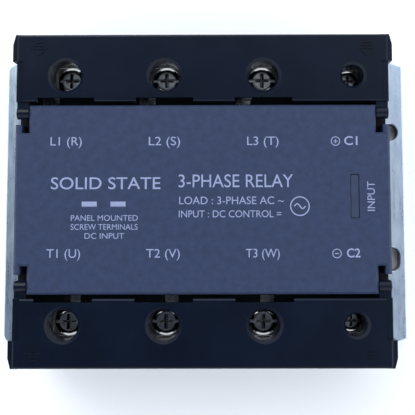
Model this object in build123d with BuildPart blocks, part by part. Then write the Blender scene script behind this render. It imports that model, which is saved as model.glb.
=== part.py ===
from build123d import *
import os

# Three-phase solid state relay with a DC input, for panel mounting.
# Frame: the origin is the centre of the base plate's underside, X runs along a row of
# terminals, Y from the load end to the line end, and Z out of the front face. Millimetres.
# The line end and the load end mirror each other, so most features are placed for both
# signs of Y at once.

os.makedirs("parts", exist_ok=True)

LINE_END = 1
LOAD_END = -1
ENDS = (LINE_END, LOAD_END)
SIDES = (1, -1)

# Base plate, with the holes that fasten it to a heatsink
plate_width = 132.0
plate_length = 92.6
plate_thickness = 4.0
plate_corner_radius = 3.0
plate_corner_cut_x = 3.6
plate_corner_cut_y = 1.4
plate_edge_break = 0.3
left_hole_x = -60.0
left_hole_y = 21.0
right_hole_x = 61.2
plate_hole_radius = 2.9
plate_hole_chamfer = 0.25
right_round_hole_y = 22.8
right_slot_y = -19.1
right_slot_length = 7.9

# Housing and terminal blocks
body_width = 110.0
body_height = 38.0
housing_length = 95.0
housing_corner_radius = 1.0
ledge_height = 22.0
end_block_width = 105.4
end_block_length = 93.0
barrier_top = 35.6
centre_length = 55.2
centre_end = centre_length / 2
side_wall = 2.5
low_cavity_length = 90.6
shelf_bottom = 16.0
shelf_top = 20.0
centre_cavity_length = 50.4
upper_cavity_width = 95.0
upper_cavity_start = 29.5
ceiling_bottom = 35.5
panel_edge_chamfer = 0.7

# Terminal rows: three load terminals and one control terminal at each end
load_terminal_x = (-40.4, -11.2, 18.0)
control_terminal_x = 44.5
terminal_y = 36.4
load_bay_width = 20.0
control_bay_width = 12.0
bay_inner_y = 31.0
bay_outer_y = 50.0
bay_end_wall_top = 30.6
groove_floor = 18.0
barrier_thickness = 2.0

# Load terminals: busbar, square nut, captive clamp, spring washer, M5 screw
busbar_thickness = 1.5
busbar_top = shelf_top + busbar_thickness
load_pad_width = 17.4
load_pad_inner_y = 31.3
load_pad_outer_y = 43.4
load_tab_width = 4.5
load_tab_offset = {LINE_END: -5.6, LOAD_END: 1.5}
tab_leg_y = 29.2
tab_run_top = 11.0
tab_run_inner_y = 16.0
foot_inner_y = 10.5
foot_thickness = 1.2
load_nut_size = 8.0
load_nut_height = 4.0
load_clamp_width = 12.5
load_clamp_length = 9.8
load_clamp_thickness = 1.4
clamp_flange_height = 1.3
clamp_flange_thickness = 0.9
load_washer_radius = 4.3
load_washer_height = 1.2
load_screw_radius = 2.45
load_thread_radius = 2.5
load_screw_length = 14.0
load_head_radius = 4.4
load_head_height = 3.7
load_bore_bottom = 9.0

# Control terminals: the same pieces around an M3.5 screw
contact_thickness = 1.2
contact_top = shelf_top + contact_thickness
contact_pad_width = 10.6
contact_pad_inner_y = 31.3
contact_pad_outer_y = 42.0
contact_tab_width = 3.0
contact_leg_y = 21.6
control_nut_size = 6.0
control_nut_height = 2.6
control_clamp_width = 8.8
control_clamp_length = 8.0
control_clamp_thickness = 1.0
control_washer_radius = 3.1
control_washer_height = 0.9
control_screw_radius = 1.7
control_thread_radius = 1.75
control_screw_length = 10.0
control_head_radius = 3.45
control_head_height = 2.6
control_bore_bottom = 11.5
nut_rib_width = 100.0
nut_rib_inner_y = 31.2
nut_rib_outer_y = 41.6
nut_rib_bottom = 7.0
nut_gap = 0.1
bore_gap = 0.3
slip_gap = 0.2
washer_split = 0.7

# Terminal covers and their hinges
cover_thickness = 2.0
cover_underside = body_height - cover_thickness
cover_inner_y = 28.7
cover_outer_y = 48.75
cover_bottom = 22.4
cover_wall = 1.8
cover_edge_radius = 0.7
cover_corner_radius = 1.0
side_step_width = 2.0
side_step_depth = 0.5
ear_reach = 1.2
ear_length = 8.0
ear_taper_length = 3.0
ear_taper_depth = 0.8
ear_bottom = 30.0
lead_in_notch_width = 17.0
lead_in_notch_depth = 1.2
load_access_radius = 4.5
control_access_radius = 3.2
load_collar_radius = 5.9
control_collar_radius = 4.6
collar_bottom = 31.6
access_chamfer = 0.8
load_wire_width = 13.0
control_wire_width = 8.5
load_wire_top = 30.0
control_wire_top = 28.0
wire_corner_radius = 3.0
hinge_y = 25.4
hinge_z = 36.0
barrel_radius = 1.8
arm_bottom = 34.2
arm_top = 36.9
arm_inner_x = 51.3
arm_outer_x = 54.8
arm_end_y = 31.5
pin_radius = 1.1
pin_bore_radius = 1.15
pin_inner_x = 49.0
pin_bore_inner_x = 48.7
notch_wall_x = 51.0
notch_step_x = 53.2
notch_depth = 5.7
notch_slot_depth = 8.15
notch_floor = 31.5
notch_floor_thickness = 2.0
hinge_relief_x = 50.2
hinge_relief_y = 32.0
mark_centre_x = 48.6
mark_rib_lengths = (2.2, 3.3, 4.4)
mark_rib_width = 0.4
mark_rib_pitch = 0.9
mark_first_y = 46.3
mark_height = 0.25
mark_arrow_width = 3.4
mark_arrow_length = 1.3

# Status window in the front panel
window_x = control_terminal_x
window_y = 0.7
window_width = 2.4
window_length = 12.6
window_gap = 0.1
window_recess = 0.3
guide_bottom = 31.0
guide_flange = 1.0

# Control board and what it carries
board_bottom = 24.0
board_thickness = 1.6
board_top = board_bottom + board_thickness
board_width = 92.0
board_length = 47.0
board_screw_x = 38.0
board_screw_y = 19.5
board_boss_radius = 3.0
board_screw_radius = 1.25
board_screw_head_radius = 2.3
board_screw_head_height = 1.6
board_pilot_depth = 6.5
board_screw_end = board_top + 5.5

capacitor_size = (13.0, 5.0, 8.5)
capacitor_y = 12.0
resistor_y = 2.0
resistor_radius = 1.6
resistor_length = 9.0
resistor_axis_z = board_top + 2.0
resistor_lead_radius = 0.35
resistor_lead_x = 6.0
opto_y = -10.0
opto_width = 9.4
opto_length = 6.4
opto_bottom = board_top + 0.5
opto_top = board_top + 4.0
opto_leg_pitch = 2.54
opto_leg_offset = 3.8
opto_leg_width = 0.6
opto_leg_length = 0.9
opto_leg_height = 2.2
input_parts_x = 33.0
regulator_size = (6.5, 6.0, 2.3)
regulator_y = 12.0
regulator_leg_size = (0.8, 2.4, 0.6)
regulator_leg_pitch = 2.3
regulator_leg_y = 16.0
diode_size = (4.4, 2.6, 2.1)
diode_y = -12.0
led_rim_radius = 1.6
led_rim_height = 0.8
led_lens_radius = 1.4
led_lens_height = 3.6
led_lens_round = 1.2

# Power stage: insulating ceramic tiles on the plate, copper pads, thyristor chips
tile_width = 22.0
tile_length = 46.0
tile_thickness = 0.8
tile_top = plate_thickness + tile_thickness
pad_border = 1.0
pad_gap = 3.0
pad_thickness = 0.3
pad_top = tile_top + pad_thickness
chip_width = 7.5
chip_length = 6.5
chip_height = 0.5
chip_offset_x = 4.8
chip_offset_y = 5.0
chip_top = pad_top + chip_height
gate_pin_radius = 0.4
gate_pin_shift = 2.0
solder_reach = 1.0
strap_width = 2.4
strap_thickness = 0.5
strap_rise = 1.4
strap_shift = 1.8
strap_on_chip = 2.0
strap_past_centre = 1.0

# Screws that hold the housing down, driven through the plate from below
case_screw_x = (-25.8, 33.25)
case_screw_y = 38.0
case_screw_radius = 1.4
case_screw_length = 11.0
case_head_radius = 2.9
case_clearance_radius = 1.7
case_boss_radius = 3.5
case_head_bottom = 0.1
case_recess_length = 2.8
case_recess_width = 0.7
case_recess_depth = 1.0
thread_gap = 0.05


def save(piece, name):
    """Label a finished piece and write it as one STEP file."""
    piece.part.label = name
    export_step(piece.part, f"parts/{name}.step")


def both_ends(x_values, y):
    """Points at each x, at +y and -y."""
    return [(x, end * y) for x in x_values for end in ENDS]


def cut_prism(points, size_x, size_y, low, high):
    """Cut upright boxes centred on the points, between two heights."""
    with BuildSketch(Plane.XY.offset(low)) as profile:
        with Locations(*points):
            Rectangle(size_x, size_y)
    extrude(profile.sketch, amount=high - low, mode=Mode.SUBTRACT)


def cut_bore(points, radius, low, high):
    """Cut upright round bores centred on the points, between two heights."""
    with BuildSketch(Plane.XY.offset(low)) as profile:
        with Locations(*points):
            Circle(radius)
    extrude(profile.sketch, amount=high - low, mode=Mode.SUBTRACT)


def add_block(points, size_x, size_y, low, high):
    """Add upright boxes centred on the points, between two heights."""
    with BuildSketch(Plane.XY.offset(low)) as profile:
        with Locations(*points):
            Rectangle(size_x, size_y)
    extrude(profile.sketch, amount=high - low)


def add_post(points, radius, low, high):
    """Add upright round posts centred on the points, between two heights."""
    with BuildSketch(Plane.XY.offset(low)) as profile:
        with Locations(*points):
            Circle(radius)
    extrude(profile.sketch, amount=high - low)


case_screw_points = both_ends(case_screw_x, case_screw_y)
board_screw_points = both_ends((-board_screw_x, board_screw_x), board_screw_y)
load_points = both_ends(load_terminal_x, terminal_y)
control_points = both_ends((control_terminal_x,), terminal_y)


# Base plate: square corners eased round on the left, clipped on the right
with BuildPart() as base_plate:
    with BuildSketch():
        with BuildLine():
            Polyline(
                (-plate_width / 2, -plate_length / 2),
                (plate_width / 2 - plate_corner_cut_x, -plate_length / 2),
                (plate_width / 2, -plate_length / 2 + plate_corner_cut_y),
                (plate_width / 2, plate_length / 2 - plate_corner_cut_y),
                (plate_width / 2 - plate_corner_cut_x, plate_length / 2),
                (-plate_width / 2, plate_length / 2),
                close=True,
            )
        make_face()
        fillet(vertices().group_by(Axis.X)[0], plate_corner_radius)
        with Locations((left_hole_x, left_hole_y), (left_hole_x, -left_hole_y)):
            Circle(plate_hole_radius, mode=Mode.SUBTRACT)
        with Locations((right_hole_x, right_round_hole_y)):
            Circle(plate_hole_radius, mode=Mode.SUBTRACT)
        with Locations((right_hole_x, right_slot_y)):
            SlotOverall(right_slot_length, 2 * plate_hole_radius, rotation=90, mode=Mode.SUBTRACT)
    extrude(amount=plate_thickness)
    plate_face = faces().sort_by(Axis.Z)[-1]
    hole_edges = [edge for wire in plate_face.inner_wires() for edge in wire.edges()]
    chamfer(plate_face.outer_wire().edges(), plate_edge_break)
    chamfer(hole_edges, plate_hole_chamfer)
    with Locations(Plane.XY.reverse()):
        with Locations(*[(x, -y) for x, y in case_screw_points]):
            CounterSinkHole(case_clearance_radius, case_head_radius + bore_gap, counter_sink_angle=90)
save(base_plate, "base_plate")


# Housing: a hollow moulding with the front panel as its ceiling, and a low wall that
# carries on under both terminal blocks
cavity_width = body_width - 2 * side_wall
contact_slot_width = contact_tab_width + 2 * slip_gap
contact_slot_top = contact_top + slip_gap
edge_notch_width = body_width / 2 - notch_step_x
slot_notch_width = notch_step_x - notch_wall_x
notch_bottom = notch_floor - notch_floor_thickness

with BuildPart() as housing:
    with BuildSketch(Plane.XY.offset(plate_thickness)):
        RectangleRounded(body_width, housing_length, housing_corner_radius)
    extrude(amount=shelf_bottom - plate_thickness)
    add_block([(0, 0)], body_width, centre_length, shelf_bottom, body_height)

    # Hollow middle, wider below the hinge sockets than beside them, with posts under the
    # ceiling for the board
    cut_prism([(0, 0)], cavity_width, low_cavity_length, plate_thickness, shelf_bottom)
    cut_prism([(0, 0)], cavity_width, centre_cavity_length, shelf_bottom, upper_cavity_start)
    cut_prism([(0, 0)], upper_cavity_width, centre_cavity_length, upper_cavity_start, ceiling_bottom)
    add_post(board_screw_points, board_boss_radius, board_top, ceiling_bottom)
    cut_bore(board_screw_points, board_screw_radius + thread_gap, board_top, board_top + board_pilot_depth)

    # Slots in the end walls for the control contacts
    wall_mid_y = (centre_end + centre_cavity_length / 2) / 2
    cut_prism(
        both_ends((control_terminal_x,), wall_mid_y),
        contact_slot_width,
        centre_end - centre_cavity_length / 2,
        shelf_top,
        contact_slot_top,
    )

    # Status window through the front panel
    cut_prism(
        [(window_x, window_y)],
        window_width + 2 * window_gap,
        window_length + 2 * window_gap,
        ceiling_bottom,
        body_height,
    )

    # Hinge sockets: an L-shaped notch at each corner of the panel, whose floor belongs to
    # the terminal block, and a blind bore for the cover's pin
    for side in SIDES:
        for end in ENDS:
            cut_prism(
                [(side * (notch_step_x + edge_notch_width / 2), end * (centre_end - notch_depth / 2))],
                edge_notch_width, notch_depth, notch_bottom, body_height,
            )
            cut_prism(
                [(side * (notch_wall_x + slot_notch_width / 2), end * (centre_end - notch_slot_depth / 2))],
                slot_notch_width, notch_slot_depth, notch_bottom, body_height,
            )
            with BuildSketch(Plane.YZ.offset(side * pin_bore_inner_x)) as pin_bore:
                with Locations((end * hinge_y, hinge_z)):
                    Circle(pin_bore_radius)
            extrude(pin_bore.sketch, amount=side * (notch_wall_x - pin_bore_inner_x), mode=Mode.SUBTRACT)
    chamfer(faces().sort_by(Axis.Z)[-1].outer_wire().edges(), panel_edge_chamfer)
save(housing, "housing")


# Terminal block: a shelf with open bays for the terminals, walls between them, and a
# rib below that holds the nuts
block_end = housing_length / 2
wall_end = end_block_length / 2
bay_length = bay_outer_y - bay_inner_y
bay_y = (bay_outer_y + bay_inner_y) / 2
end_wall_y = (bay_inner_y + centre_end) / 2
load_row = [(x, terminal_y) for x in load_terminal_x]
control_row = [(control_terminal_x, terminal_y)]
boss_row = [(x, case_screw_y) for x in case_screw_x]
groove_edges = [
    (load_terminal_x[0] + load_bay_width / 2, load_terminal_x[1] - load_bay_width / 2),
    (load_terminal_x[1] + load_bay_width / 2, load_terminal_x[2] - load_bay_width / 2),
    (load_terminal_x[2] + load_bay_width / 2, control_terminal_x - control_bay_width / 2),
]


def terminal_block(tab_offset):
    """The block of the +Y end, with its busbar windows this far beside the terminals."""
    with BuildPart() as block:
        with BuildSketch(Plane.XY.offset(shelf_bottom)):
            with Locations((0, (centre_end + block_end) / 2)):
                Rectangle(body_width, block_end - centre_end)
            fillet(vertices().group_by(Axis.Y)[-1], housing_corner_radius)
        extrude(amount=ledge_height - shelf_bottom)
        add_block(
            [(0, (centre_end + wall_end) / 2)],
            end_block_width, wall_end - centre_end, ledge_height, barrier_top,
        )
        add_block(
            [(0, (nut_rib_inner_y + nut_rib_outer_y) / 2)],
            nut_rib_width, nut_rib_outer_y - nut_rib_inner_y, nut_rib_bottom, shelf_bottom,
        )
        add_post(boss_row, case_boss_radius, plate_thickness, nut_rib_bottom)

        # Lowered wall beside the housing, bays, and creepage grooves between their walls
        cut_prism(
            [(0, end_wall_y)], end_block_width, bay_inner_y - centre_end, bay_end_wall_top, barrier_top
        )
        load_bays = [(x, bay_y) for x in load_terminal_x]
        cut_prism(load_bays, load_bay_width, bay_length, shelf_top, barrier_top)
        cut_prism([(control_terminal_x, bay_y)], control_bay_width, bay_length, shelf_top, barrier_top)
        for left, right in groove_edges:
            groove_width = right - left - 2 * barrier_thickness
            cut_prism([((left + right) / 2, bay_y)], groove_width, bay_length, groove_floor, barrier_top)

        # Nut pockets, with a blind bore below each for the screw's tip
        pocket = load_nut_size + 2 * nut_gap
        cut_prism(load_row, pocket, pocket, shelf_top - load_nut_height - nut_gap, shelf_top)
        cut_bore(load_row, load_screw_radius + bore_gap, load_bore_bottom, shelf_top)
        pocket = control_nut_size + 2 * nut_gap
        cut_prism(control_row, pocket, pocket, shelf_top - control_nut_height - nut_gap, shelf_top)
        cut_bore(control_row, control_screw_radius + bore_gap, control_bore_bottom, shelf_top)

        # Windows for the busbars' tabs and a slot for the control contact
        cut_prism(
            [(x + tab_offset, (centre_end + load_pad_inner_y) / 2) for x in load_terminal_x],
            load_tab_width + 2 * slip_gap,
            load_pad_inner_y - centre_end,
            shelf_bottom,
            bay_end_wall_top,
        )
        cut_prism(
            [(control_terminal_x, end_wall_y)],
            contact_slot_width, bay_inner_y - centre_end, shelf_top, contact_slot_top,
        )

        # Pilot holes for the case screws, and room beside the bays for the hinge arms
        cut_bore(boss_row, case_screw_radius + thread_gap, plate_thickness, case_screw_length + 1)
        relief_width = end_block_width / 2 - hinge_relief_x
        relief_x = hinge_relief_x + relief_width / 2
        cut_prism(
            [(relief_x, (centre_end + hinge_relief_y) / 2), (-relief_x, (centre_end + hinge_relief_y) / 2)],
            relief_width, hinge_relief_y - centre_end, notch_floor, barrier_top,
        )

        # Floors of the hinge sockets, which reach in under the corners of the panel
        edge_x = notch_step_x + edge_notch_width / 2
        slot_x = notch_wall_x + slot_notch_width / 2
        slot_end = centre_end - notch_slot_depth
        add_block(
            [(side * edge_x, centre_end - notch_depth / 2) for side in SIDES],
            edge_notch_width, notch_depth, notch_bottom, notch_floor,
        )
        add_block(
            [(side * slot_x, (slot_end + bay_inner_y) / 2) for side in SIDES],
            slot_notch_width, bay_inner_y - slot_end, notch_bottom, notch_floor,
        )
    return block


save(terminal_block(load_tab_offset[LINE_END]), "line_terminal_block")

load_side_block = terminal_block(load_tab_offset[LOAD_END])
with BuildPart() as load_terminal_block:
    mirror(load_side_block.part, about=Plane.XZ)
save(load_terminal_block, "load_terminal_block")


# Terminal cover: a lid over one row of bays, with skirts, screwdriver collars, wire
# cut-outs, finger ears, and two hinge arms that end in pins
cover_mid_y = (cover_inner_y + cover_outer_y) / 2
cover_length = cover_outer_y - cover_inner_y

with BuildPart() as line_cover:
    with BuildSketch(Plane.XY.offset(cover_bottom)):
        with Locations((0, cover_mid_y)):
            Rectangle(body_width, cover_length)
        fillet(vertices().group_by(Axis.Y)[-1], cover_corner_radius)
    extrude(amount=body_height - cover_bottom)
    fillet(edges().filter_by(Axis.X).group_by(Axis.Z)[-1], cover_edge_radius)
    inner_width = body_width - 2 * cover_wall
    inner_length = cover_outer_y - cover_wall - cover_inner_y + 1
    cut_prism(
        [(0, cover_outer_y - cover_wall - inner_length / 2)],
        inner_width, inner_length, cover_bottom, cover_underside,
    )

    # Lowered strip along each side, and the finger ears at the outer corners
    for side in SIDES:
        step_x = side * (body_width / 2 - side_step_width / 2 + 0.5)
        cut_prism(
            [(step_x, cover_mid_y - ear_length / 2)],
            side_step_width + 1, cover_length - ear_length,
            body_height - side_step_depth, body_height,
        )
        wall_x = side * (body_width / 2 - 1)
        ear_x = side * (body_width / 2 + ear_reach)
        ear_end_y = cover_outer_y - ear_length
        with BuildSketch(Plane.XY.offset(ear_bottom)):
            with BuildLine():
                Polyline(
                    (wall_x, ear_end_y),
                    (ear_x, ear_end_y),
                    (ear_x, cover_outer_y - ear_taper_length),
                    (ear_x - side * ear_taper_depth, cover_outer_y),
                    (wall_x - side, cover_outer_y),
                    (wall_x - side, cover_outer_y - 2),
                    (wall_x, cover_outer_y - 2),
                    close=True,
                )
            make_face()
        extrude(amount=body_height - side_step_depth - ear_bottom)

    # Collars that guide a screwdriver, and their bores with a lead-in
    add_post(load_row, load_collar_radius, collar_bottom, cover_underside)
    add_post(control_row, control_collar_radius, collar_bottom, cover_underside)
    cut_bore(load_row, load_access_radius, collar_bottom, body_height)
    cut_bore(control_row, control_access_radius, collar_bottom, body_height)
    lid_face = faces().sort_by(Axis.Z)[-1]
    rim_edges = [edge for wire in lid_face.inner_wires() for edge in wire.edges()]
    chamfer(rim_edges, access_chamfer)

    # Wire cut-outs with rounded tops in the end wall
    for x in load_terminal_x:
        with BuildSketch(Plane.XZ.offset(-cover_outer_y - 1)):
            with Locations((x, (cover_bottom + load_wire_top) / 2)):
                Rectangle(load_wire_width, load_wire_top - cover_bottom)
            fillet(vertices().group_by(Axis.Y)[-1], wire_corner_radius)
        extrude(amount=cover_wall + 2, mode=Mode.SUBTRACT)
    with BuildSketch(Plane.XZ.offset(-cover_outer_y - 1)):
        with Locations((control_terminal_x, (cover_bottom + control_wire_top) / 2)):
            Rectangle(control_wire_width, control_wire_top - cover_bottom)
        fillet(vertices().group_by(Axis.Y)[-1], wire_corner_radius)
    extrude(amount=cover_wall + 2, mode=Mode.SUBTRACT)

    # Shallow notches in the hinge-side edge, one beside each load terminal
    cut_prism(
        [(x, cover_inner_y) for x in load_terminal_x],
        lead_in_notch_width, 2 * lead_in_notch_depth, cover_underside, body_height,
    )

    # Hinge arms, each with a barrel end and a pin that points inward
    for side in SIDES:
        with BuildSketch(Plane.YZ.offset(side * arm_inner_x)):
            with Locations((hinge_y, hinge_z)):
                Circle(barrel_radius)
            with Locations(((hinge_y + arm_end_y) / 2, (arm_bottom + arm_top) / 2)):
                Rectangle(arm_end_y - hinge_y, arm_top - arm_bottom)
        extrude(amount=side * (arm_outer_x - arm_inner_x))
        with BuildSketch(Plane.YZ.offset(side * pin_inner_x)):
            with Locations((hinge_y, hinge_z)):
                Circle(pin_radius)
        extrude(amount=side * (arm_inner_x - pin_inner_x))

    # Raised opening marks: three ribs and an arrow that points to the hinge
    with BuildSketch(Plane.XY.offset(body_height)):
        for side in SIDES:
            for index, rib_length in enumerate(mark_rib_lengths):
                with Locations((side * mark_centre_x, mark_first_y - index * mark_rib_pitch)):
                    Rectangle(rib_length, mark_rib_width)
            arrow_y = mark_first_y - len(mark_rib_lengths) * mark_rib_pitch
            with BuildLine():
                Polyline(
                    (side * mark_centre_x - mark_arrow_width / 2, arrow_y),
                    (side * mark_centre_x + mark_arrow_width / 2, arrow_y),
                    (side * mark_centre_x, arrow_y - mark_arrow_length),
                    close=True,
                )
            make_face()
    extrude(amount=mark_height)
save(line_cover, "line_cover")

with BuildPart() as load_cover:
    mirror(line_cover.part, about=Plane.XZ)
save(load_cover, "load_cover")


# Load terminal hardware. Each busbar has a flat pad on the shelf, a tab that steps down
# through the shelf and runs inward, and a foot that is soldered to the power stage.
def load_busbar(x, end):
    tab_x = x + load_tab_offset[end]
    leg_inner_y = tab_leg_y
    leg_outer_y = tab_leg_y + busbar_thickness
    with BuildPart() as busbar:
        with BuildSketch(Plane.XY.offset(shelf_top)):
            with Locations((x, end * (load_pad_inner_y + load_pad_outer_y) / 2)):
                Rectangle(load_pad_width, load_pad_outer_y - load_pad_inner_y)
            chamfer(vertices().group_by(Axis.Y)[-1 if end > 0 else 0], 1.0)
            with Locations((x, end * terminal_y)):
                Circle(load_screw_radius + bore_gap, mode=Mode.SUBTRACT)
        extrude(amount=busbar_thickness)
        tab_profile = [
            (load_pad_inner_y, shelf_top),
            (leg_outer_y, shelf_top),
            (leg_outer_y, tab_run_top - busbar_thickness),
            (tab_run_inner_y, tab_run_top - busbar_thickness),
            (tab_run_inner_y, pad_top),
            (foot_inner_y, pad_top),
            (foot_inner_y, pad_top + foot_thickness),
            (tab_run_inner_y - busbar_thickness, pad_top + foot_thickness),
            (tab_run_inner_y - busbar_thickness, tab_run_top),
            (leg_inner_y, tab_run_top),
            (leg_inner_y, busbar_top),
            (load_pad_inner_y, busbar_top),
        ]
        with BuildSketch(Plane.YZ.offset(tab_x - load_tab_width / 2)):
            with BuildLine():
                Polyline(*[(end * y, z) for y, z in tab_profile], close=True)
            make_face()
        extrude(amount=load_tab_width)
    return busbar


def clamp_plate(x, y, low, width, length, thickness, hole_radius):
    """A pressure plate with two upturned edges, around a screw."""
    with BuildPart() as clamp:
        with BuildSketch(Plane.XY.offset(low)):
            with Locations((x, y)):
                Rectangle(width, length)
                Circle(hole_radius, mode=Mode.SUBTRACT)
        extrude(amount=thickness)
        edge_offset = (width - clamp_flange_thickness) / 2
        with BuildSketch(Plane.XY.offset(low + thickness)):
            with Locations((x - edge_offset, y), (x + edge_offset, y)):
                Rectangle(clamp_flange_thickness, length)
        extrude(amount=clamp_flange_height)
    return clamp


def spring_washer(x, y, low, radius, hole_radius, height):
    """A split ring, flat under the tightened screw."""
    with BuildPart() as washer:
        with BuildSketch(Plane.XY.offset(low)):
            with Locations((x, y)):
                Circle(radius)
                Circle(hole_radius, mode=Mode.SUBTRACT)
            with Locations((x + radius, y)):
                Rectangle(radius, washer_split, mode=Mode.SUBTRACT)
        extrude(amount=height)
    return washer


def pan_head_screw(x, y, seat, shank_radius, length, head_radius, head_height):
    """A pan-head screw, its threads left plain, with a cross recess and a slot."""
    recess_half = 0.52 * head_radius
    recess_width = 0.24 * head_radius
    recess_depth = 0.62 * head_height
    slot_depth = 0.3 * head_height
    head_top = seat + head_height
    with BuildPart() as screw:
        with BuildSketch(Plane.XY.offset(seat)):
            with Locations((x, y)):
                Circle(head_radius)
        extrude(amount=head_height)
        fillet(edges().group_by(Axis.Z)[-1], 0.52 * head_height)
        with BuildSketch(Plane.XY.offset(seat - length)):
            with Locations((x, y)):
                Circle(shank_radius)
        extrude(amount=length)
        chamfer(edges().group_by(Axis.Z)[0], 0.25 * shank_radius)
        with BuildSketch(Plane.XY.offset(head_top)):
            with Locations((x, y)):
                Rectangle(2 * recess_half, recess_width)
                Rectangle(recess_width, 2 * recess_half)
        extrude(amount=-recess_depth, taper=12, mode=Mode.SUBTRACT)
        with BuildSketch(Plane.XY.offset(head_top)):
            with Locations((x, y)):
                Rectangle(2.2 * head_radius, 0.8 * recess_width)
        extrude(amount=-slot_depth, mode=Mode.SUBTRACT)
    return screw


for end, row in ((LINE_END, "line"), (LOAD_END, "load")):
    for number, x in enumerate(load_terminal_x, start=1):
        y = end * terminal_y
        washer_low = busbar_top + load_clamp_thickness
        save(load_busbar(x, end), f"{row}_busbar_{number}")
        save(
            clamp_plate(
                x, y, busbar_top,
                load_clamp_width, load_clamp_length, load_clamp_thickness, load_screw_radius + bore_gap,
            ),
            f"{row}_clamp_{number}",
        )
        save(
            spring_washer(
                x, y, washer_low, load_washer_radius, load_screw_radius + bore_gap, load_washer_height
            ),
            f"{row}_washer_{number}",
        )
        save(
            pan_head_screw(
                x, y, washer_low + load_washer_height,
                load_screw_radius, load_screw_length, load_head_radius, load_head_height,
            ),
            f"{row}_screw_{number}",
        )

with BuildPart() as terminal_nuts:
    with BuildSketch(Plane.XY.offset(shelf_top - load_nut_height)):
        with Locations(*load_points):
            Rectangle(load_nut_size, load_nut_size)
            Circle(load_thread_radius, mode=Mode.SUBTRACT)
    extrude(amount=load_nut_height)
save(terminal_nuts, "terminal_nuts")


# Control terminal hardware, around a smaller screw. Each contact's tab runs in through
# the end wall and turns up into the control board.
def control_contact(end):
    x = control_terminal_x
    tab_left = x - contact_tab_width / 2
    with BuildPart() as contact:
        with BuildSketch(Plane.XY.offset(shelf_top)):
            with Locations((x, end * (contact_pad_inner_y + contact_pad_outer_y) / 2)):
                Rectangle(contact_pad_width, contact_pad_outer_y - contact_pad_inner_y)
            with Locations((x, end * terminal_y)):
                Circle(control_screw_radius + bore_gap, mode=Mode.SUBTRACT)
        extrude(amount=contact_thickness)
        leg_profile = [
            (contact_pad_inner_y, shelf_top),
            (contact_leg_y, shelf_top),
            (contact_leg_y, board_top + solder_reach),
            (contact_leg_y + contact_thickness, board_top + solder_reach),
            (contact_leg_y + contact_thickness, contact_top),
            (contact_pad_inner_y, contact_top),
        ]
        with BuildSketch(Plane.YZ.offset(tab_left)):
            with BuildLine():
                Polyline(*[(end * y, z) for y, z in leg_profile], close=True)
            make_face()
        extrude(amount=contact_tab_width)
    return contact


for end, pole in ((LINE_END, "plus"), (LOAD_END, "minus")):
    y = end * terminal_y
    washer_low = contact_top + control_clamp_thickness
    save(control_contact(end), f"control_contact_{pole}")
    save(
        clamp_plate(
            control_terminal_x, y, contact_top,
            control_clamp_width, control_clamp_length, control_clamp_thickness,
            control_screw_radius + bore_gap,
        ),
        f"control_clamp_{pole}",
    )
    save(
        spring_washer(
            control_terminal_x, y, washer_low,
            control_washer_radius, control_screw_radius + bore_gap, control_washer_height,
        ),
        f"control_washer_{pole}",
    )
    save(
        pan_head_screw(
            control_terminal_x, y, washer_low + control_washer_height,
            control_screw_radius, control_screw_length, control_head_radius, control_head_height,
        ),
        f"control_screw_{pole}",
    )

with BuildPart() as control_nuts:
    with BuildSketch(Plane.XY.offset(shelf_top - control_nut_height)):
        with Locations(*control_points):
            Rectangle(control_nut_size, control_nut_size)
            Circle(control_thread_radius, mode=Mode.SUBTRACT)
    extrude(amount=control_nut_height)
save(control_nuts, "control_nuts")


# Power stage: one ceramic tile per phase with two copper pads, a pair of thyristor chips
# that point opposite ways, a strap over each chip, and a gate pin from each chip
line_chip_points = [(x - chip_offset_x, chip_offset_y) for x in load_terminal_x]
load_chip_points = [(x + chip_offset_x, -chip_offset_y) for x in load_terminal_x]
chip_points = line_chip_points + load_chip_points

with BuildPart() as ceramic_tiles:
    add_block([(x, 0) for x in load_terminal_x], tile_width, tile_length, plate_thickness, tile_top)
save(ceramic_tiles, "ceramic_tiles")

with BuildPart() as copper_pads:
    pad_length = (tile_length - 2 * pad_border - pad_gap) / 2
    pad_y = (pad_gap + pad_length) / 2
    add_block(both_ends(load_terminal_x, pad_y), tile_width - 2 * pad_border, pad_length, tile_top, pad_top)
save(copper_pads, "copper_pads")

with BuildPart() as thyristor_chips:
    add_block(chip_points, chip_width, chip_length, pad_top, chip_top)
save(thyristor_chips, "thyristor_chips")

# Each strap starts flat on its chip, steps up over the gap between the pads, and comes
# down flat on the other pad
strap_start = chip_offset_y + strap_on_chip
strap_step = chip_offset_y - strap_past_centre
strap_end = -chip_offset_y - strap_on_chip
strap_top = chip_top + strap_rise
strap_profile = [
    (strap_start, chip_top),
    (strap_step, chip_top),
    (strap_step, strap_top),
    (-strap_step, strap_top),
    (-strap_step, pad_top),
    (strap_end, pad_top),
    (strap_end, pad_top + strap_thickness),
    (-strap_step - strap_thickness, pad_top + strap_thickness),
    (-strap_step - strap_thickness, strap_top + strap_thickness),
    (strap_step + strap_thickness, strap_top + strap_thickness),
    (strap_step + strap_thickness, chip_top + strap_thickness),
    (strap_start, chip_top + strap_thickness),
]

with BuildPart() as chip_straps:
    for points, end in ((line_chip_points, LINE_END), (load_chip_points, LOAD_END)):
        for x, y in points:
            with BuildSketch(Plane.YZ.offset(x - strap_shift - strap_width / 2)):
                with BuildLine():
                    Polyline(*[(end * y, z) for y, z in strap_profile], close=True)
                make_face()
            extrude(amount=strap_width)
save(chip_straps, "chip_straps")

gate_pin_points = [(x + gate_pin_shift, y) for x, y in chip_points]
with BuildPart() as gate_pins:
    add_post(gate_pin_points, gate_pin_radius, chip_top, board_top + solder_reach)
save(gate_pins, "gate_pins")


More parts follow.
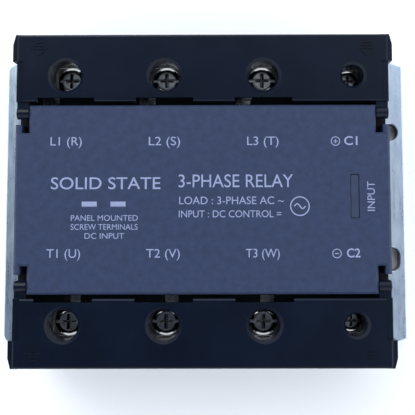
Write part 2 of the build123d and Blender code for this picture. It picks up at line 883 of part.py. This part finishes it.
# Control board, hung from the ceiling posts by four screws, with its components
with BuildPart() as control_board:
    with BuildSketch(Plane.XY.offset(board_bottom)):
        Rectangle(board_width, board_length)
        with Locations(*board_screw_points):
            Circle(board_screw_radius + slip_gap, mode=Mode.SUBTRACT)
        with Locations(*gate_pin_points):
            Circle(gate_pin_radius + slip_gap, mode=Mode.SUBTRACT)
        with Locations(*both_ends((control_terminal_x,), contact_leg_y + contact_thickness / 2)):
            Rectangle(
                contact_tab_width + 2 * slip_gap,
                contact_thickness + 2 * slip_gap,
                mode=Mode.SUBTRACT,
            )
    extrude(amount=board_thickness)
save(control_board, "control_board")

with BuildPart() as board_screws:
    head_bottom = board_bottom - board_screw_head_height
    add_post(board_screw_points, board_screw_head_radius, head_bottom, board_bottom)
    add_post(board_screw_points, board_screw_radius, board_bottom, board_screw_end)
save(board_screws, "board_screws")

with BuildPart() as optocouplers:
    add_block([(x, opto_y) for x in load_terminal_x], opto_width, opto_length, opto_bottom, opto_top)
    for x in load_terminal_x:
        leg_points = [
            (x + opto_leg_pitch * step, opto_y + opto_leg_offset * side)
            for step in (-1, 0, 1)
            for side in SIDES
        ]
        add_block(leg_points, opto_leg_width, opto_leg_length, board_top, board_top + opto_leg_height)
save(optocouplers, "optocouplers")

with BuildPart() as snubber_capacitors:
    width, length, height = capacitor_size
    add_block([(x, capacitor_y) for x in load_terminal_x], width, length, board_top, board_top + height)
save(snubber_capacitors, "snubber_capacitors")

with BuildPart() as snubber_resistors:
    for x in load_terminal_x:
        with BuildSketch(Plane.YZ.offset(x - resistor_length / 2)):
            with Locations((resistor_y, resistor_axis_z)):
                Circle(resistor_radius)
        extrude(amount=resistor_length)
        lead_points = [(x + side * resistor_lead_x, resistor_y) for side in SIDES]
        add_post(lead_points, resistor_lead_radius, board_top, resistor_axis_z)
        with BuildSketch(Plane.YZ.offset(x - resistor_lead_x - resistor_lead_radius)):
            with Locations((resistor_y, resistor_axis_z)):
                Circle(resistor_lead_radius)
        extrude(amount=2 * (resistor_lead_x + resistor_lead_radius))
save(snubber_resistors, "snubber_resistors")

with BuildPart() as input_regulator:
    width, length, height = regulator_size
    add_block([(input_parts_x, regulator_y)], width, length, board_top, board_top + height)
    leg_points = [(input_parts_x + regulator_leg_pitch * step, regulator_leg_y) for step in (-1, 0, 1)]
    width, length, height = regulator_leg_size
    add_block(leg_points, width, length, board_top, board_top + height)
save(input_regulator, "input_regulator")

with BuildPart() as input_diode:
    width, length, height = diode_size
    add_block([(input_parts_x, diode_y)], width, length, board_top, board_top + height)
save(input_diode, "input_diode")


# Status lamp on the board and the clear bar that carries its light to the front panel
with BuildPart() as status_led:
    lens_bottom = board_top + led_rim_height
    add_post([(window_x, window_y)], led_rim_radius, board_top, lens_bottom)
    add_post([(window_x, window_y)], led_lens_radius, lens_bottom, lens_bottom + led_lens_height)
    fillet(edges().group_by(Axis.Z)[-1], led_lens_round)
save(status_led, "status_led")

with BuildPart() as light_guide:
    add_block([(window_x, window_y)], window_width, window_length, guide_bottom, body_height - window_recess)
    add_block(
        [(window_x, window_y)],
        window_width + 2 * guide_flange,
        window_length + 2 * guide_flange,
        ceiling_bottom - guide_flange,
        ceiling_bottom,
    )
save(light_guide, "light_guide")


# Case screws, countersunk into the underside of the plate
with BuildPart() as case_screws:
    with BuildSketch(Plane.XY.offset(case_head_bottom)):
        with Locations(*case_screw_points):
            Circle(case_head_radius)
    extrude(amount=case_head_radius - case_screw_radius, taper=45)
    add_post(case_screw_points, case_screw_radius, case_head_bottom, case_screw_length)
    recess_top = case_head_bottom + case_recess_depth
    cut_prism(case_screw_points, case_recess_length, case_recess_width, case_head_bottom, recess_top)
    cut_prism(case_screw_points, case_recess_width, case_recess_length, case_head_bottom, recess_top)
save(case_screws, "case_screws")
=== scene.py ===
"""Looks of a three-phase solid state relay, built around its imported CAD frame.

The frame's own meshes are shown with procedural materials. The printed legend, which is
thin ink on the front panel, is made here. Lengths are in metres unless a name says mm.
"""

import math

import bpy
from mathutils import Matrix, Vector


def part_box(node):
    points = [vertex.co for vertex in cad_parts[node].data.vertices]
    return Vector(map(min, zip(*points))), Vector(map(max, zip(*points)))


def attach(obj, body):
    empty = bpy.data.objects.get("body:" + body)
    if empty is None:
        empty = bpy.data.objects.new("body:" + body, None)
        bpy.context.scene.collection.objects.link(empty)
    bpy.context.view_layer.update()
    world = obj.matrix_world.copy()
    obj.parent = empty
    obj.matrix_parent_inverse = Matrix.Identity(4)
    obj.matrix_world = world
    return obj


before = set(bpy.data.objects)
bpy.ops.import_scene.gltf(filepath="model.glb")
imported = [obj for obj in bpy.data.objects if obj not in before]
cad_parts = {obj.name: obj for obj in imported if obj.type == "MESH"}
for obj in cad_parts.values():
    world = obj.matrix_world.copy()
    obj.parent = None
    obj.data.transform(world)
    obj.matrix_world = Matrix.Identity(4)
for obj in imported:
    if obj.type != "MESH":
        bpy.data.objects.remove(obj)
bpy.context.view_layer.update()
MM = 0.001


# Shader helpers

class Graph:
    """A small wrapper that makes and links the nodes of one material."""

    def __init__(self, name):
        self.material = bpy.data.materials.new(name)
        self.material.use_nodes = True
        self.tree = self.material.node_tree
        self.tree.nodes.clear()
        self.output = self.node("ShaderNodeOutputMaterial")
        self.shader = self.node("ShaderNodeBsdfPrincipled")
        self.link(self.shader, "BSDF", self.output, "Surface")
        self.coordinates = self.node("ShaderNodeTexCoord")

    def node(self, kind, **values):
        made = self.tree.nodes.new(kind)
        for key, value in values.items():
            setattr(made, key, value)
        return made

    def link(self, source, output, target, socket):
        self.tree.links.new(source.outputs[output], target.inputs[socket])

    def scaled_coordinates(self, scale):
        """Object coordinates, stretched by a factor for each axis."""
        mapping = self.node("ShaderNodeMapping")
        mapping.inputs["Scale"].default_value = scale
        self.link(self.coordinates, "Object", mapping, "Vector")
        return mapping

    def noise(self, scale, detail=3.0, roughness=0.5, stretch=(1, 1, 1)):
        noise = self.node("ShaderNodeTexNoise")
        noise.inputs["Scale"].default_value = scale
        noise.inputs["Detail"].default_value = detail
        noise.inputs["Roughness"].default_value = roughness
        self.link(self.scaled_coordinates(stretch), "Vector", noise, "Vector")
        return noise

    def ramp(self, source, stops, output="Fac"):
        """A colour ramp over a grey value; stops are (position, colour or grey)."""
        ramp = self.node("ShaderNodeValToRGB")
        elements = ramp.color_ramp.elements
        while len(elements) < len(stops):
            elements.new(0.5)
        for element, (position, colour) in zip(elements, stops):
            element.position = position
            element.color = colour if isinstance(colour, tuple) else (colour, colour, colour, 1)
        self.link(source, output, ramp, "Fac")
        return ramp

    def bump(self, height, output, strength, distance, before=None):
        bump = self.node("ShaderNodeBump")
        bump.inputs["Strength"].default_value = strength
        bump.inputs["Distance"].default_value = distance
        self.link(height, output, bump, "Height")
        if before is not None:
            self.link(before, "Normal", bump, "Normal")
        return bump

    def set(self, **values):
        """Set the shader's own sockets by name, with underscores for spaces."""
        for key, value in values.items():
            self.shader.inputs[key.replace("_", " ")].default_value = value


def rgba(colour, factor=1.0):
    return tuple(min(1.0, channel * factor) for channel in colour) + (1.0,)


def soft_edges(graph, radius_mm):
    """A bevel in the shading normal, for edges that a mould or a press leaves round."""
    bevel = graph.node("ShaderNodeBevel", samples=6)
    bevel.inputs["Radius"].default_value = radius_mm * MM
    return bevel


def plastic(
    name, colour, roughness, grain_mm, grain_depth,
    variation=0.12, drift_scale=55.0, specular=0.5, coat=0.0, edge_mm=0.15,
):
    """Moulded plastic: faint tone drift, spark-eroded grain, uneven gloss, worn edges."""
    graph = Graph(name)
    drift = graph.noise(drift_scale, detail=5.0, roughness=0.6)
    tone = graph.ramp(drift, [(0.3, rgba(colour, 1 - variation)), (0.7, rgba(colour, 1 + variation))])
    graph.link(tone, "Color", graph.shader, "Base Color")
    gloss = graph.noise(140.0, detail=6.0, roughness=0.65)
    gloss_range = graph.node("ShaderNodeMapRange")
    gloss_range.inputs["To Min"].default_value = max(0.03, roughness - 0.06)
    gloss_range.inputs["To Max"].default_value = roughness + 0.08
    graph.link(gloss, "Fac", gloss_range, "Value")
    graph.link(gloss_range, "Result", graph.shader, "Roughness")
    grain = graph.noise(1.0 / (grain_mm * MM), detail=2.0)
    bump = graph.bump(grain, "Fac", 0.6, grain_depth * MM, soft_edges(graph, edge_mm))
    graph.link(bump, "Normal", graph.shader, "Normal")
    graph.set(Coat_Weight=coat, Coat_Roughness=0.12, Specular_IOR_Level=specular)
    return graph.material


def paint_wall_shade(graph, tone, wall_shade_tone, half_width, half_length):
    """The tone, changed to another on upright faces that lie inside a sheet's outline: a painted shade on the
    walls of its holes.
    """
    geometry = graph.node("ShaderNodeNewGeometry")
    normal = graph.node("ShaderNodeSeparateXYZ")
    graph.link(geometry, "Normal", normal, "Vector")
    place = graph.node("ShaderNodeSeparateXYZ")
    graph.link(graph.coordinates, "Object", place, "Vector")
    within = None
    for source, axis, limit in ((normal, "Z", 0.5), (place, "X", half_width), (place, "Y", half_length)):
        size = graph.node("ShaderNodeMath", operation="ABSOLUTE")
        graph.link(source, axis, size, 0)
        below = graph.node("ShaderNodeMath", operation="LESS_THAN")
        below.inputs[1].default_value = limit
        graph.link(size, "Value", below, 0)
        if within is None:
            within = below
            continue
        both = graph.node("ShaderNodeMath", operation="MULTIPLY")
        graph.link(within, "Value", both, 0)
        graph.link(below, "Value", both, 1)
        within = both
    mix = graph.node("ShaderNodeMix", data_type="RGBA")
    mix.inputs["B"].default_value = rgba(wall_shade_tone)
    graph.link(within, "Value", mix, "Factor")
    graph.link(tone, "Color", mix, "A")
    return mix


def metal(
    name, colour, roughness, stretch, scratch_scale, depth,
    variation=0.1, edge_mm=0.12, hole_wall_shade=None,
):
    """Bare or plated metal: drawn streaks in tone, gloss and height along one direction."""
    graph = Graph(name)
    streaks = graph.noise(scratch_scale, detail=8.0, roughness=0.7, stretch=stretch)
    cloud = graph.noise(70.0, detail=4.0)
    mixed = graph.node("ShaderNodeMix", data_type="FLOAT")
    mixed.inputs["Factor"].default_value = 0.45
    graph.link(streaks, "Fac", mixed, 2)
    graph.link(cloud, "Fac", mixed, 3)
    tone = graph.ramp(
        mixed,
        [(0.3, rgba(colour, 1 - variation)), (0.72, rgba(colour, 1 + variation))],
        output=0,
    )
    # When hole walls are given, upright faces inside the sheet get a dark brown painted shade, standing in
    # for the shadow inside its holes.
    if hole_wall_shade is None:
        graph.link(tone, "Color", graph.shader, "Base Color")
    else:
        graph.link(paint_wall_shade(graph, tone, *hole_wall_shade), "Result", graph.shader, "Base Color")
    gloss = graph.node("ShaderNodeMapRange")
    gloss.inputs["To Min"].default_value = max(0.05, roughness - 0.1)
    gloss.inputs["To Max"].default_value = roughness + 0.12
    graph.link(streaks, "Fac", gloss, "Value")
    graph.link(gloss, "Result", graph.shader, "Roughness")
    bump = graph.bump(streaks, "Fac", 0.5, depth * MM, soft_edges(graph, edge_mm))
    graph.link(bump, "Normal", graph.shader, "Normal")
    graph.set(Metallic=1.0)
    return graph.material


# Materials

PANEL_BLUE = (0.0215, 0.033, 0.074)
COVER_NAVY = (0.0027, 0.0056, 0.0135)
BLOCK_BLACK = (0.0034, 0.0046, 0.0074)
INK = (0.22, 0.25, 0.40)

housing_plastic = plastic(
    "housing_plastic", PANEL_BLUE, 0.5, 0.22, 0.010,
    variation=0.16, drift_scale=420.0, specular=0.25, edge_mm=0.2,
)
cover_plastic = plastic(
    "cover_plastic", COVER_NAVY, 0.24, 0.9, 0.004,
    variation=0.2, specular=0.17, coat=0.04, edge_mm=0.06,
)
block_plastic = plastic(
    "block_plastic", BLOCK_BLACK, 0.5, 0.3, 0.012, variation=0.1, specular=0.14, edge_mm=0.1
)
ink = plastic("legend_ink", INK, 0.5, 0.15, 0.002, variation=0.1, edge_mm=0.01)
black_epoxy = plastic("black_epoxy", (0.018, 0.018, 0.02), 0.5, 0.1, 0.01)
board_laminate = plastic("board_laminate", (0.012, 0.11, 0.045), 0.35, 0.6, 0.006, coat=0.5)
film_capacitor = plastic("film_capacitor", (0.32, 0.10, 0.02), 0.3, 1.5, 0.01, coat=0.4)
resistor_lacquer = plastic("resistor_lacquer", (0.25, 0.33, 0.42), 0.4, 0.5, 0.01)
alumina = plastic("alumina", (0.82, 0.82, 0.78), 0.6, 0.12, 0.004, variation=0.04)
lamp_lens = plastic("lamp_lens", (0.55, 0.02, 0.015), 0.12, 2.0, 0.002, coat=0.6)
silicon = plastic("silicon", (0.10, 0.10, 0.13), 0.25, 0.4, 0.001)

plate_aluminium = metal(
    "plate_aluminium", (0.64, 0.76, 1.0), 0.28, (7, 1, 1), 110.0, 0.003,
    # dark brown painted shade on the walls of the plate's mounting holes, for the shadow inside them
    variation=0.22, hole_wall_shade=((0.10, 0.075, 0.06), 65 * MM, 40 * MM),
)
tinned_copper = metal("tinned_copper", (0.78, 0.78, 0.76), 0.24, (3, 1, 1), 500.0, 0.003, 0.08)
zinc_plate = metal("zinc_plate", (0.42, 0.43, 0.44), 0.3, (1, 1, 1), 420.0, 0.005, 0.12)
screw_steel = metal("screw_steel", (0.46, 0.46, 0.46), 0.16, (1, 1, 1), 900.0, 0.05, 0.4)
bare_copper = metal("bare_copper", (0.80, 0.38, 0.22), 0.28, (1, 3, 1), 400.0, 0.003, 0.1)


def clear_guide():
    """Clear moulded bar over the status lamp, slightly cloudy."""
    graph = Graph("light_guide_clear")
    cloud = graph.noise(300.0, detail=4.0)
    tone = graph.ramp(cloud, [(0.3, (0.020, 0.031, 0.068, 1)), (0.7, (0.027, 0.041, 0.088, 1))])
    graph.link(tone, "Color", graph.shader, "Base Color")
    bump = graph.bump(cloud, "Fac", 0.3, 0.01 * MM, soft_edges(graph, 0.3))
    graph.link(bump, "Normal", graph.shader, "Normal")
    graph.set(Roughness=0.35, Transmission_Weight=0.08, IOR=1.49, Coat_Weight=0.1, Coat_Roughness=0.2)
    return graph.material


light_guide_clear = clear_guide()

NODE_FINISH = {
    "base_plate": plate_aluminium,
    "housing": housing_plastic,
    "line_terminal_block": block_plastic,
    "load_terminal_block": block_plastic,
    "line_cover": cover_plastic,
    "load_cover": cover_plastic,
    "terminal_nuts": zinc_plate,
    "control_nuts": zinc_plate,
    "ceramic_tiles": alumina,
    "copper_pads": bare_copper,
    "thyristor_chips": silicon,
    "chip_straps": bare_copper,
    "gate_pins": tinned_copper,
    "control_board": board_laminate,
    "board_screws": zinc_plate,
    "optocouplers": black_epoxy,
    "snubber_capacitors": film_capacitor,
    "snubber_resistors": resistor_lacquer,
    "input_regulator": black_epoxy,
    "input_diode": black_epoxy,
    "status_led": lamp_lens,
    "light_guide": light_guide_clear,
    "case_screws": zinc_plate,
}
REPEATED_FINISH = {
    "_busbar_": tinned_copper,
    "_contact_": tinned_copper,
    "_clamp_": zinc_plate,
    "_washer_": zinc_plate,
    "_screw_": screw_steel,
}

for node_name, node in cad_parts.items():
    finish = NODE_FINISH.get(node_name)
    if finish is None:
        finish = next(value for key, value in REPEATED_FINISH.items() if key in node_name)
    node.data.materials.clear()
    node.data.materials.append(finish)


# Printed legend on the front panel. Places are worked out from the panel and from the
# terminals, whose screws the frame gives.

panel_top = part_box("housing")[1][2]
INK_THICKNESS = 0.03 * MM
CAP_SHARE_OF_FONT_SIZE = 0.72


def centre_x(node):
    low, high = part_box(node)
    return (low[0] + high[0]) / 2


def printed(piece):
    piece.data.materials.append(ink)
    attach(piece, "root")


def print_text(name, body, x, y, cap_height, width=None, turn=0.0, weight=0.0):
    """Ink text centred at a point, scaled to a cap height and, if given, a width."""
    curve = bpy.data.curves.new(name, "FONT")
    curve.body = body
    curve.align_x = "CENTER"
    curve.align_y = "CENTER"
    curve.size = cap_height / CAP_SHARE_OF_FONT_SIZE
    curve.extrude = INK_THICKNESS / 2
    curve.offset = weight
    curve.resolution_u = 6
    piece = bpy.data.objects.new(name, curve)
    bpy.context.collection.objects.link(piece)
    bpy.context.view_layer.update()
    if width is not None:
        piece.scale.x = width / piece.dimensions.x
    piece.location = (x, y, panel_top + INK_THICKNESS / 2)
    piece.rotation_euler.z = turn
    printed(piece)
    return piece


def print_loop(name, points, thickness, x, y, closed=True):
    """An ink line of even thickness through the points, which are relative to (x, y)."""
    curve = bpy.data.curves.new(name, "CURVE")
    curve.dimensions = "3D"
    curve.bevel_mode = "PROFILE"
    curve.bevel_depth = thickness / 2
    curve.bevel_resolution = 1
    spline = curve.splines.new("POLY")
    spline.points.add(len(points) - 1)
    for target, (px, py) in zip(spline.points, points):
        target.co = (px, py, 0, 1)
    spline.use_cyclic_u = closed
    piece = bpy.data.objects.new(name, curve)
    bpy.context.collection.objects.link(piece)
    piece.scale.z = INK_THICKNESS / thickness
    piece.location = (x, y, panel_top + INK_THICKNESS / 2)
    printed(piece)
    return piece


def ring_points(radius, count=36):
    return [
        (radius * math.cos(2 * math.pi * i / count), radius * math.sin(2 * math.pi * i / count))
        for i in range(count)
    ]


TERMINAL_MARK_Y = (16.8 * MM, -15.9 * MM)
TERMINAL_MARK_CAP = 2.6 * MM
PHASE_LETTERS = ("R", "S", "T")
MOTOR_LETTERS = ("U", "V", "W")

for index in range(3):
    x_line = centre_x(f"line_screw_{index + 1}")
    x_load = centre_x(f"load_screw_{index + 1}")
    print_text(
        f"mark_line_{index + 1}", f"L{index + 1} ({PHASE_LETTERS[index]})",
        x_line + 0.4 * MM - 0.7 * MM * index / 2, TERMINAL_MARK_Y[0], TERMINAL_MARK_CAP, 9.2 * MM,
    )
    print_text(
        f"mark_load_{index + 1}", f"T{index + 1} ({MOTOR_LETTERS[index]})",
        x_load + 0.1 * MM - 0.5 * MM * index / 2, TERMINAL_MARK_Y[1], TERMINAL_MARK_CAP, 9.8 * MM,
    )

SIGN_STROKE = 0.28 * MM
SIGN_RING_RADIUS = 1.25 * MM
SIGN_BAR = 0.6 * MM
CONTROL_MARKS = (("plus", TERMINAL_MARK_Y[0], "C1"), ("minus", TERMINAL_MARK_Y[1], "C2"))

for pole, mark_y, mark in CONTROL_MARKS:
    mark_x = centre_x(f"control_screw_{pole}") - 2.9 * MM
    print_text(f"mark_{pole}", mark, mark_x + 2.2 * MM, mark_y, TERMINAL_MARK_CAP, 3.9 * MM, weight=0.05 * MM)
    sign_x = mark_x - 2.6 * MM
    level_bar = [(-SIGN_BAR, 0), (SIGN_BAR, 0)]
    upright_bar = [(0, -SIGN_BAR), (0, SIGN_BAR)]
    print_loop(f"ring_{pole}", ring_points(SIGN_RING_RADIUS), SIGN_STROKE, sign_x, mark_y)
    print_loop(f"sign_bar_{pole}", level_bar, SIGN_STROKE, sign_x, mark_y, closed=False)
    if pole == "plus":
        print_loop(f"sign_post_{pole}", upright_bar, SIGN_STROKE, sign_x, mark_y, closed=False)

TITLE_Y = 5.0 * MM
print_text("title_kind", "SOLID STATE", -28.3 * MM, TITLE_Y - 0.6 * MM, 3.6 * MM, 32.0 * MM, weight=0.02 * MM)
print_text("title_phase", "3-PHASE RELAY", 9.6 * MM, TITLE_Y, 3.9 * MM, 33.4 * MM)
print_text("line_load", "LOAD : 3-PHASE AC ~", 8.4 * MM, -0.6 * MM, 2.3 * MM, 30.5 * MM)
print_text("line_input", "INPUT : DC CONTROL =", 8.0 * MM, -4.5 * MM, 2.1 * MM, 29.8 * MM)
for row, words in enumerate(("PANEL MOUNTED", "SCREW TERMINALS", "DC INPUT")):
    print_text(
        f"small_line_{row + 1}", words, -28.6 * MM, (-5.6 - 2.6 * row) * MM, 1.7 * MM,
        (19.5, 19.5, 11.5)[row] * MM,
    )

# Two plain bars, and a ringed wave for alternating current
for side, bar_x in (("left", -33.0 * MM), ("right", -24.6 * MM)):
    print_loop(
        f"plain_bar_{side}", [(-2.2 * MM, 0), (2.2 * MM, 0)],
        1.6 * MM, bar_x, -1.5 * MM, closed=False,
    )
print_loop("wave_ring", ring_points(2.7 * MM), 0.38 * MM, 28.4 * MM, -2.2 * MM)
wave = [(1.6 * MM * (i / 12 - 1), -0.7 * MM * math.sin(math.pi * (i / 12 - 1))) for i in range(25)]
print_loop("wave_line", wave, 0.38 * MM, 28.4 * MM, -2.2 * MM, closed=False)

print_text("mark_input", "INPUT", 49.3 * MM, 0.6 * MM, 2.3 * MM, 8.6 * MM, turn=math.pi / 2)


# Floor, lights and camera

def floor():
    mesh = bpy.data.meshes.new("floor")
    half = 2.0
    corners = [(-half, -half, 0), (half, -half, 0), (half, half, 0), (-half, half, 0)]
    mesh.from_pydata(corners, [], [(0, 1, 2, 3)])
    piece = bpy.data.objects.new("floor", mesh)
    bpy.context.collection.objects.link(piece)
    graph = Graph("floor_paper")
    tone = graph.ramp(graph.noise(6.0, detail=2.0), [(0.3, 0.90), (0.7, 0.92)])
    graph.link(tone, "Color", graph.shader, "Base Color")
    graph.set(Roughness=0.9)
    mesh.materials.append(graph.material)


def area_light(name, place, target, size, power, colour=(1, 1, 1)):
    light = bpy.data.lights.new(name, "AREA")
    light.shape = "RECTANGLE"
    light.size, light.size_y = size
    light.energy = power
    light.color = colour
    piece = bpy.data.objects.new(name, light)
    piece.location = place
    piece.rotation_euler = (Vector(target) - Vector(place)).to_track_quat("-Z", "Y").to_euler()
    bpy.context.collection.objects.link(piece)


def studio_world(axis, half_angle, soft_angle, dark, bright, strength):
    """A bright surround with a dark soft-edged round patch overhead, around an axis."""
    world = bpy.data.worlds.new("studio")
    world.use_nodes = True
    tree = world.node_tree
    background = tree.nodes["Background"]
    background.inputs["Strength"].default_value = strength
    direction = tree.nodes.new("ShaderNodeTexCoord")
    along = tree.nodes.new("ShaderNodeVectorMath")
    along.operation = "DOT_PRODUCT"
    along.inputs[1].default_value = Vector(axis).normalized()
    tree.links.new(direction.outputs["Generated"], along.inputs[0])
    fade = tree.nodes.new("ShaderNodeMapRange")
    fade.interpolation_type = "SMOOTHSTEP"
    fade.inputs["From Min"].default_value = math.cos(half_angle + soft_angle)
    fade.inputs["From Max"].default_value = math.cos(half_angle)
    tree.links.new(along.outputs["Value"], fade.inputs["Value"])
    mix = tree.nodes.new("ShaderNodeMix")
    mix.data_type = "RGBA"
    mix.inputs["A"].default_value = bright
    mix.inputs["B"].default_value = dark
    tree.links.new(fade.outputs["Result"], mix.inputs["Factor"])
    tree.links.new(mix.outputs["Result"], background.inputs["Color"])
    bpy.context.scene.world = world


floor()
area_light("key", (-0.35, 0.75, 0.85), (0, 0, 0), (0.9, 0.6), 6.0, (0.92, 0.97, 1.0))
area_light("fill", (0.9, -0.2, 0.7), (0, 0, 0), (0.8, 0.8), 2.2, (0.92, 0.97, 1.0))
studio_world(
    (-0.11, -0.12, 1.0), math.radians(8), math.radians(28),
    (0.04, 0.05, 0.07, 1), (0.92, 0.97, 1.05, 1), 1.46,
)
bpy.context.scene.view_settings.view_transform = "Standard"

camera_data = bpy.data.cameras.new("camera")
camera_data.sensor_width = 36.0
camera_data.lens = 73.7
camera_data.shift_x = -0.0313
camera_data.shift_y = -0.15
camera_data.clip_start = 0.01
camera = bpy.data.objects.new("camera", camera_data)
camera.location = (6.3 * MM, -6.0 * MM, 286.1 * MM)
camera.rotation_euler = (math.radians(4.99), math.radians(0.24), math.radians(-0.12))
bpy.context.collection.objects.link(camera)
bpy.context.scene.camera = camera
